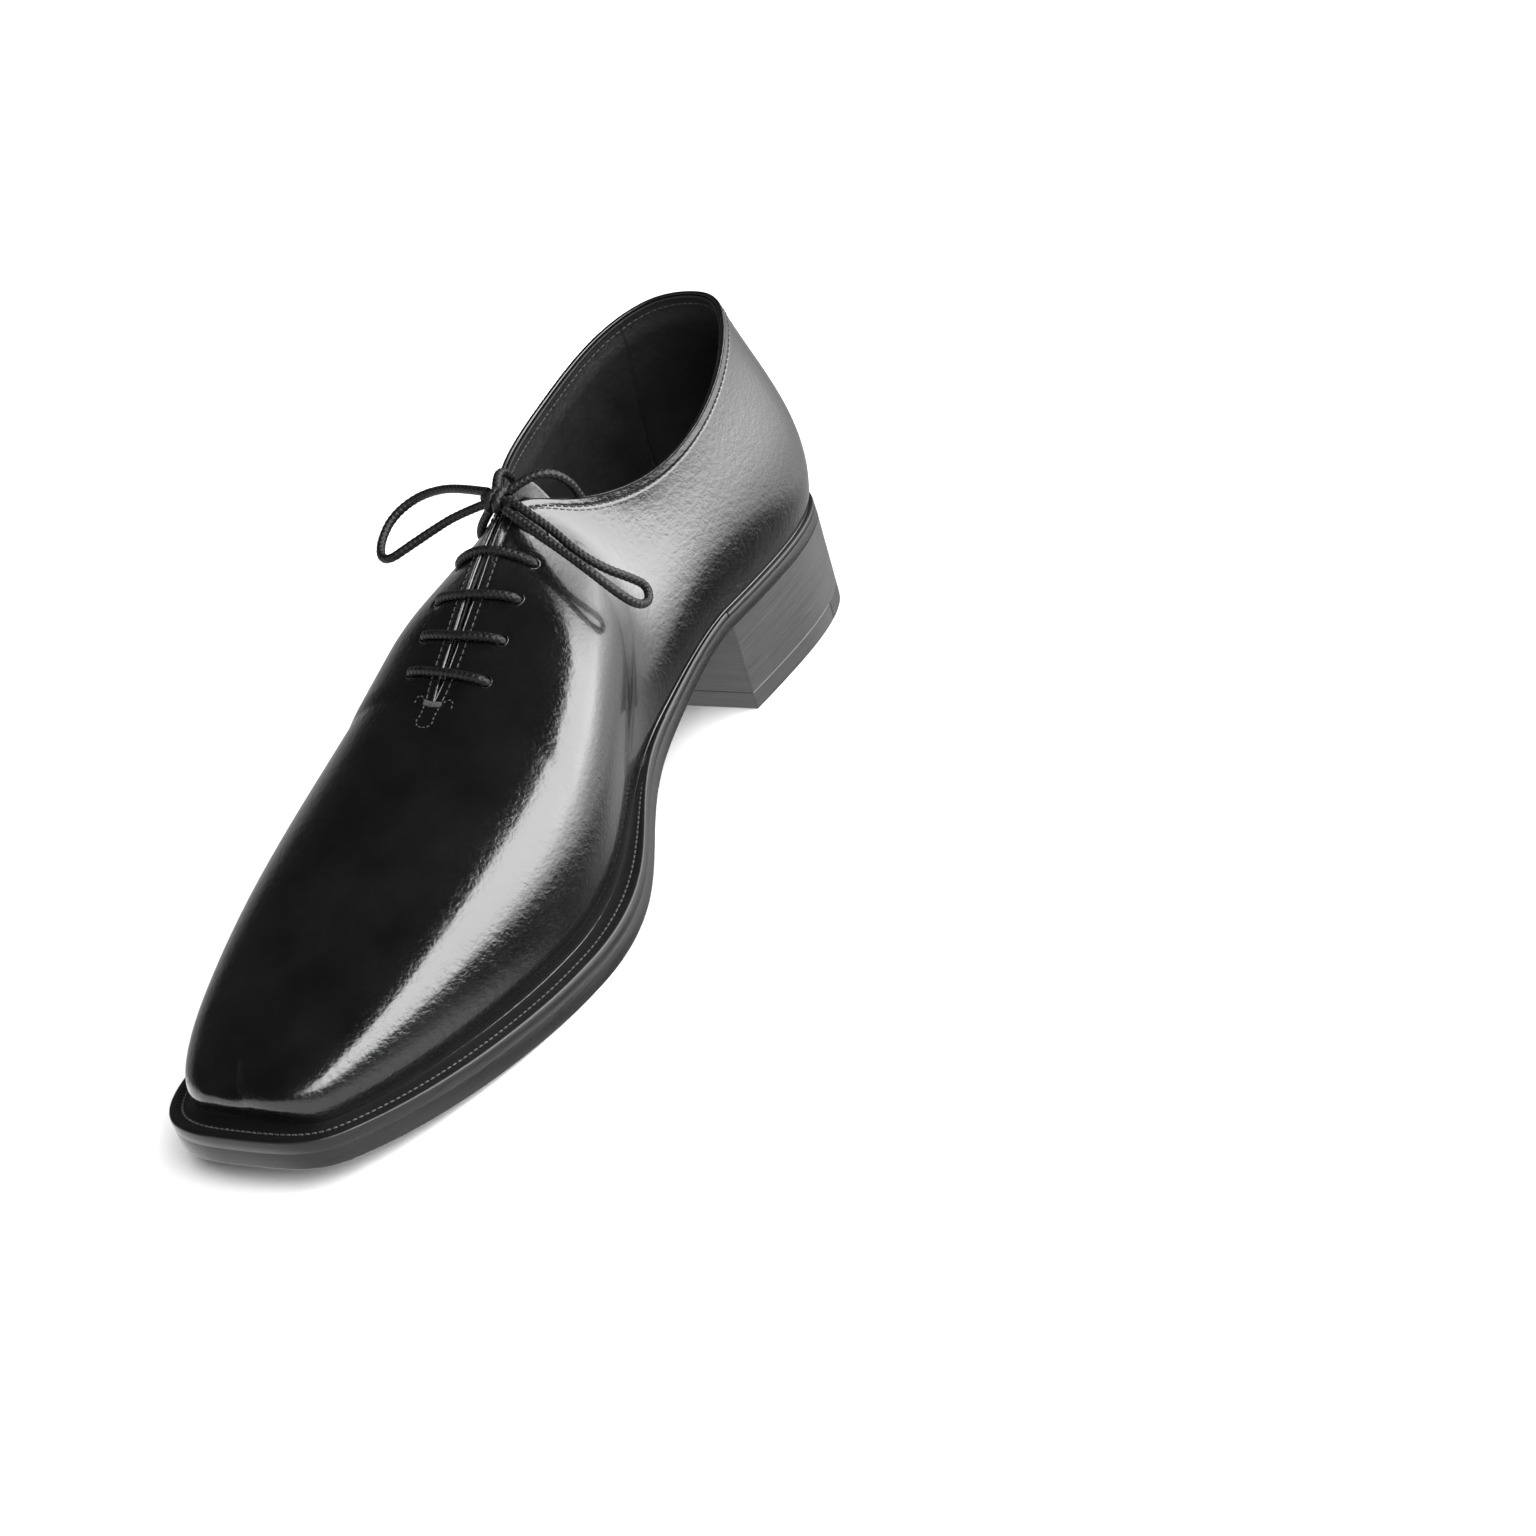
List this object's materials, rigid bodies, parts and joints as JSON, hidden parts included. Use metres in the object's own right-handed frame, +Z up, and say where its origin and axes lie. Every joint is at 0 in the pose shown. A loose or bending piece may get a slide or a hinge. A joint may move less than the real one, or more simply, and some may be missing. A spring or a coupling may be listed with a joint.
{
  "type": "leather oxford shoe",
  "caption": "Left whole-cut oxford shoe with closed lacing tied in a bow, chisel toe, welted leather sole and stacked heel.",
  "frame": {"origin": "bottom centre of the shoe's bounding box, on the plane that the heel and tread stand on", "axes": "+Z up, toe towards -Y, lateral (outer) side of this left shoe towards +X"},
  "size_m": [0.1012, 0.3044, 0.1051],
  "materials": {
    "upper_leather": "high gloss polished calf, near black",
    "lining_leather": "matt glove leather, black",
    "stiffener_leather": "raw skived leather board",
    "backer_fabric": "woven cotton backer",
    "tongue_leather": "soft semi-gloss calf",
    "thread": "waxed twisted thread",
    "sole_leather": "stained and waxed edge, black",
    "welt_leather": "stained and wheeled welt, black",
    "heel_leather": "stacked leather, burnished black",
    "insole_leather": "vegetable tanned, raw",
    "sock_leather": "matt sock leather, black",
    "cork": "granulated cork",
    "shank_steel": "spring steel",
    "tip_rubber": "matt black rubber",
    "nail_brass": "plain",
    "lace_cord": "waxed round braid, black",
    "tag_plastic": "black lace tag"
  },
  "bodies": {
    "root": {"upper": "upper_leather", "heel_counter": "stiffener_leather", "toe_puff": "stiffener_leather", "heel_lining": "lining_leather", "eyelet_stay_lateral": "backer_fabric", "eyelet_stay_medial": "backer_fabric", "side_backer_lateral": "backer_fabric", "side_backer_medial": "backer_fabric", "quarter_lining_lateral": "lining_leather", "quarter_lining_medial": "lining_leather", "vamp_lining": "lining_leather", "tongue": "tongue_leather", "bar_tack": "thread", "outsole": "sole_leather", "welt": "welt_leather", "heel_rand": "welt_leather", "shank": "shank_steel", "cork_filler": "cork", "insole": "insole_leather", "sock_lining": "sock_leather", "heel_nails": "nail_brass", "heel_tip": "tip_rubber", "top_piece": "heel_leather", "heel_lift_1": "heel_leather", "heel_lift_2": "heel_leather", "heel_lift_3": "heel_leather", "heel_lift_4": "heel_leather", "lace_run": "lace_cord", "bow_knot": "lace_cord", "bow_loop_lateral": "lace_cord", "bow_loop_medial": "lace_cord", "lace_end_lateral": "lace_cord", "lace_end_medial": "lace_cord", "lace_tag_lateral": "tag_plastic", "lace_tag_medial": "tag_plastic"}
  },
  "joints": []
}
